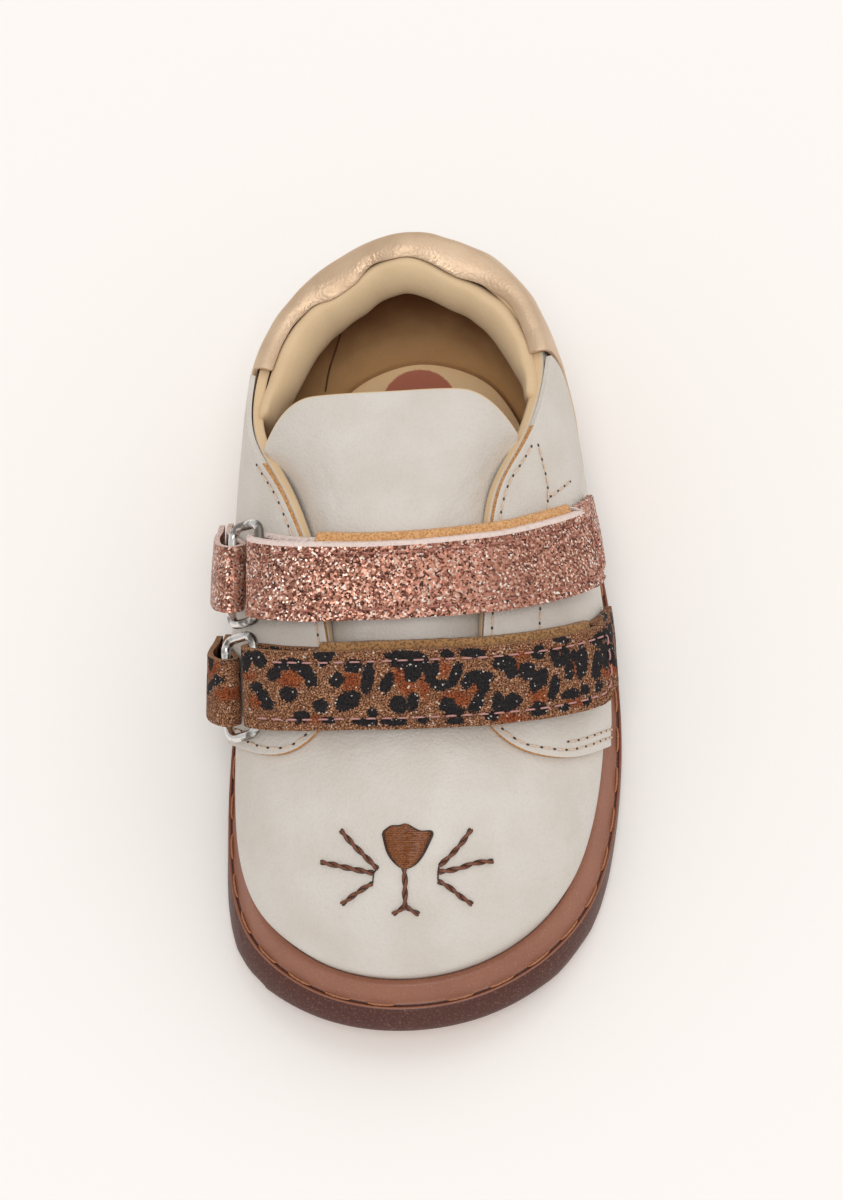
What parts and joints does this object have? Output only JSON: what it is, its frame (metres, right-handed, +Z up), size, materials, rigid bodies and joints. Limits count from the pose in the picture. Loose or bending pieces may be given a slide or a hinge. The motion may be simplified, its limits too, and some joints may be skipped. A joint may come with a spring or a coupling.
{
  "type": "toddler sneaker",
  "caption": "Left toddler sneaker with a flat flexible cup sole, leather upper with padded tongue and collar, and hook-and-loop straps folded through oval rings.",
  "frame": {"origin": "middle of the floor under the shoe", "axes": "+Z up, -Y towards the toe, +X towards the outer side of the foot"},
  "size_m": [0.0732, 0.142, 0.0568],
  "materials": {
    "brown_rubber": "matte moulded rubber, lighter on the upper band",
    "insole_fabric": "matte lining leather",
    "cream_leather": "smooth fine-grained leather",
    "gold_leather": "soft metallic leather",
    "beige_lining": "soft matte lining leather",
    "rose_glitter": "coarse rose glitter on leather",
    "leopard_glitter": "leopard spots with fine glitter on suede",
    "hook_and_loop": "woven hook and loop tape",
    "polished_metal": "polished nickel"
  },
  "bodies": {
    "root": {"outsole": "brown_rubber", "insole": "insole_fabric", "upper": "cream_leather", "quarter_lateral": "cream_leather", "quarter_medial": "cream_leather", "heel_counter": "gold_leather", "collar_padding": "beige_lining", "tongue": "cream_leather", "strap_upper": "rose_glitter", "strap_lower": "leopard_glitter", "closure_upper": "hook_and_loop", "closure_lower": "hook_and_loop", "ring_upper": "polished_metal", "ring_lower": "polished_metal", "ring_tab_upper": "rose_glitter", "ring_tab_lower": "leopard_glitter"}
  },
  "joints": []
}
